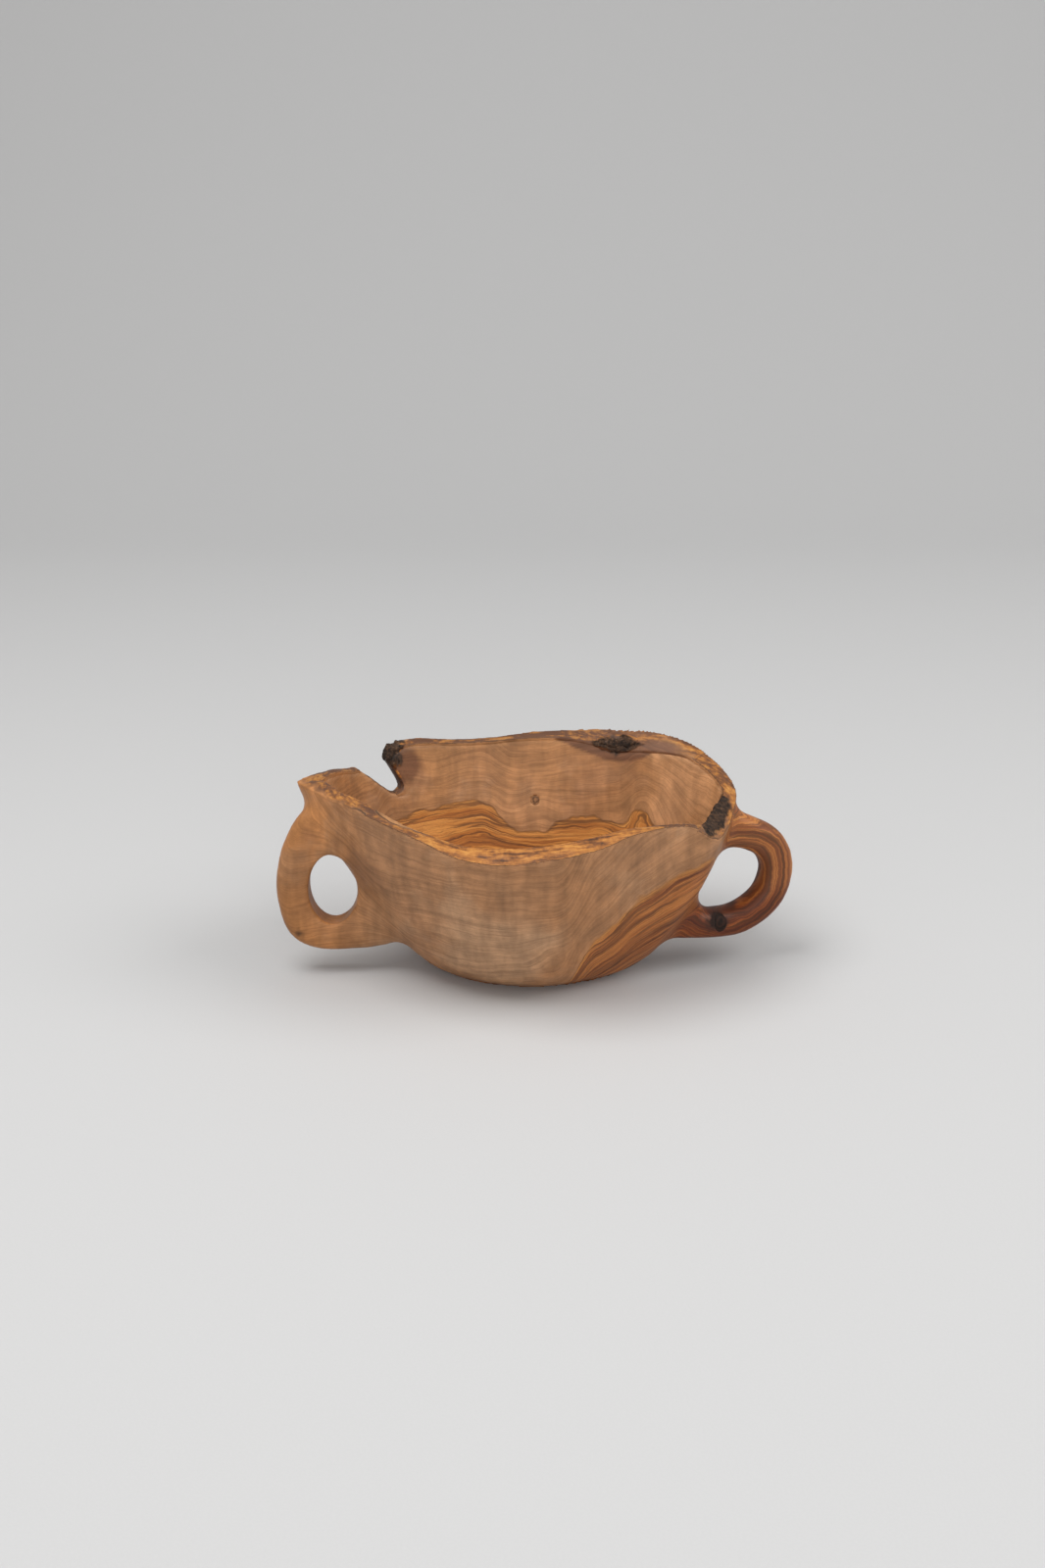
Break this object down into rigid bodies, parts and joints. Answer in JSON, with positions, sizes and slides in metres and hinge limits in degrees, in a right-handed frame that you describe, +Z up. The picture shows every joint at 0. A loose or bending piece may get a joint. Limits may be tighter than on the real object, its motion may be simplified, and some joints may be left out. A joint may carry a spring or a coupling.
{
  "type": "burl wood bowl",
  "caption": "Hand-carved wooden bowl with a loop handle at each end, a pouring lip, a notched back wall and a natural live edge with bark along the rim.",
  "frame": {"origin": "middle of the flat foot that the bowl stands on", "axes": "+Z up, +X along the bowl towards the right handle, +Y towards the high back wall"},
  "size_m": [0.3446, 0.1982, 0.1363],
  "materials": {
    "carved_wood": "sanded and oiled, satin",
    "live_edge": "natural inner bark, brushed, satin",
    "bark": "rough outer bark, matt",
    "knot": "sanded with the wood round it, satin"
  },
  "bodies": {
    "root": {"bowl_body": "carved_wood", "left_handle": "carved_wood", "right_handle": "carved_wood", "left_live_edge": "live_edge", "front_live_edge": "live_edge", "right_live_edge": "live_edge", "back_live_edge": "live_edge", "horn_bark": "bark", "back_rim_bark": "bark", "right_rim_bark": "bark", "back_wall_knot": "knot", "right_handle_knot": "knot"}
  },
  "joints": []
}
